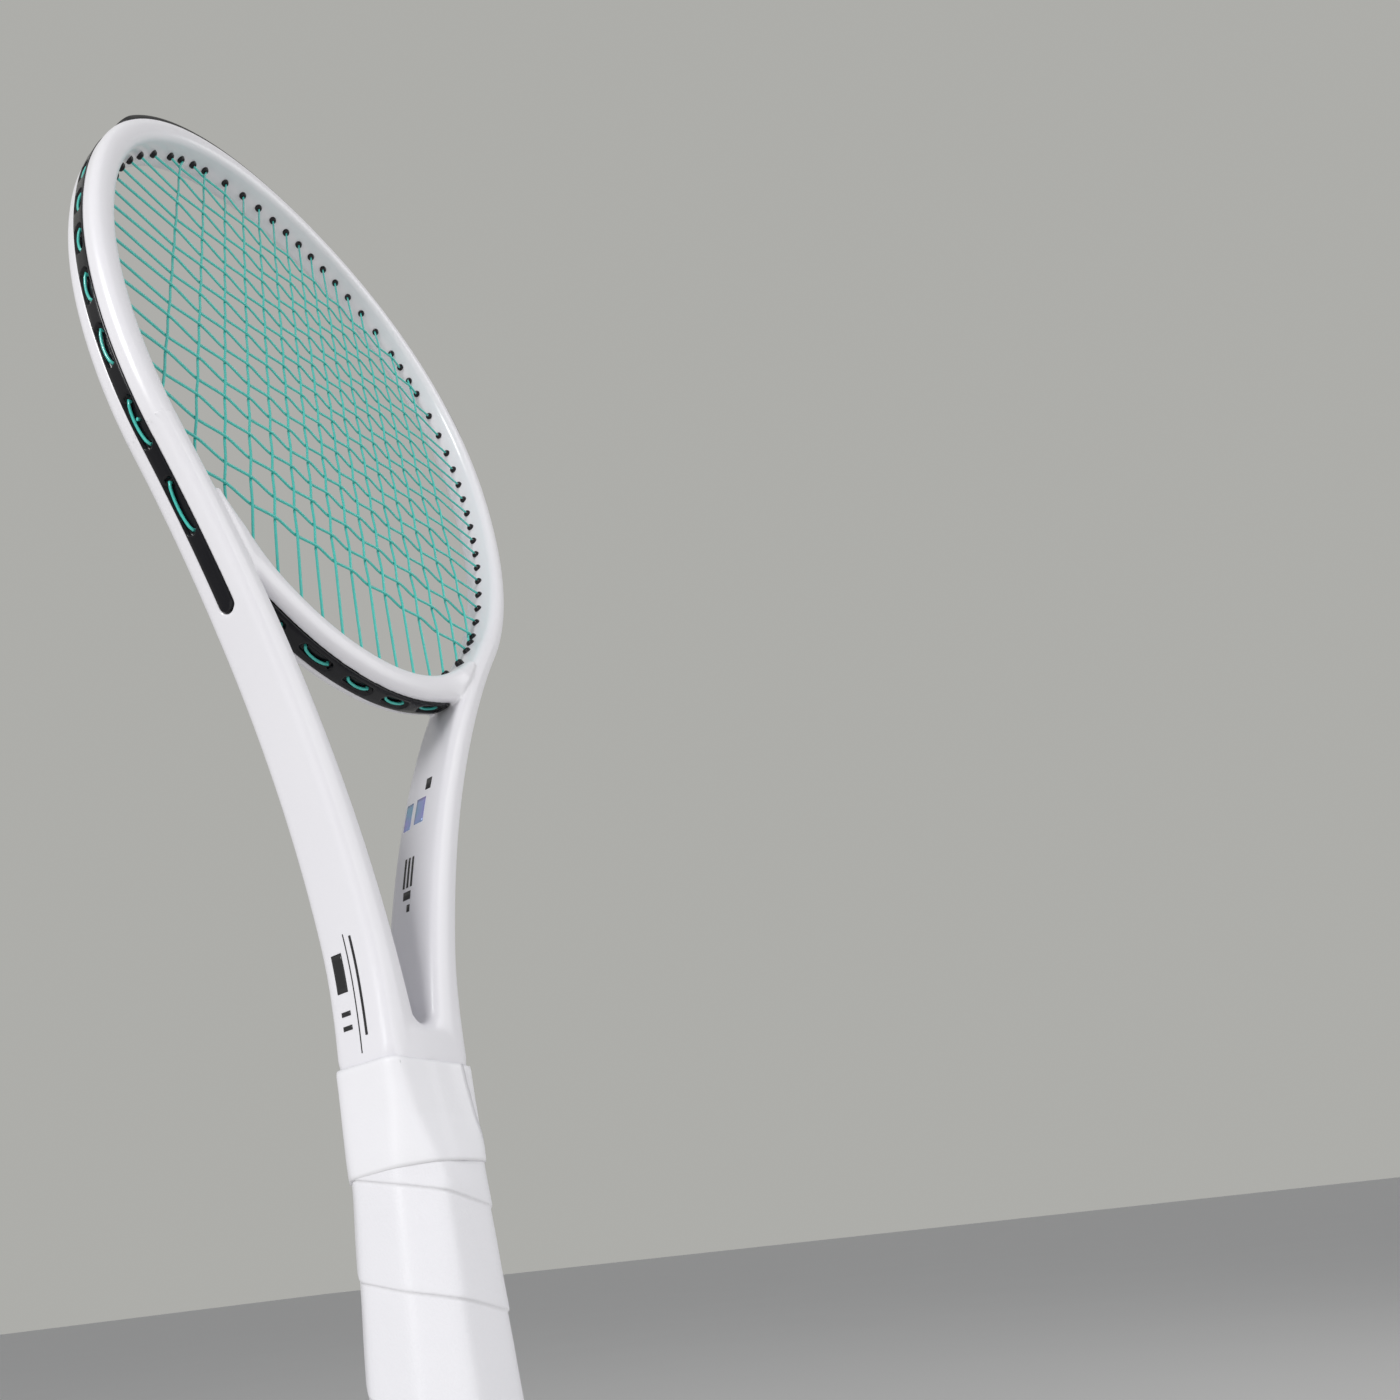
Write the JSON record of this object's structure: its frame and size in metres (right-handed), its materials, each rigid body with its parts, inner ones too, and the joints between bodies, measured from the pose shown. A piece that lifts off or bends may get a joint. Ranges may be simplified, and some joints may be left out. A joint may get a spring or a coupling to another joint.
{
  "type": "tennis racket",
  "caption": "Strung tennis racket: white hoop, open throat, black grommet strips, woven teal string bed, wrapped handle, butt cap with trap door.",
  "frame": {"origin": "middle of the butt's end face, where a player measures balance from", "axes": "+Z from the butt to the tip, X across the width of the head, -Y out of the front face"},
  "size_m": [0.2722, 0.0349, 0.6858],
  "materials": {
    "frame_paint": "gloss lacquer over laminate",
    "guard_black": "gloss",
    "string_teal": "gloss, slightly clear",
    "pallet_foam": "matt",
    "cap_plastic": "satin",
    "door_plastic": "satin",
    "grip_base": "matt",
    "grip_white": "satin",
    "tape_white": "satin"
  },
  "bodies": {
    "racket": {"frame": "frame_paint", "throat_bridge": "frame_paint", "bumper_guard": "guard_black", "throat_grommets": "guard_black", "main_string": "string_teal", "cross_string": "string_teal", "pallet_front": "pallet_foam", "pallet_back": "pallet_foam", "butt_cap": "cap_plastic", "base_grip": "grip_base", "overgrip": "grip_white", "finishing_tape": "tape_white"},
    "door": {"trap_door": "door_plastic"}
  },
  "joints": [
    {"name": "door_slide", "type": "slide", "parent": "racket", "child": "door", "axis": [0, 0, -1], "range_m": [0, 0.007]}
  ]
}
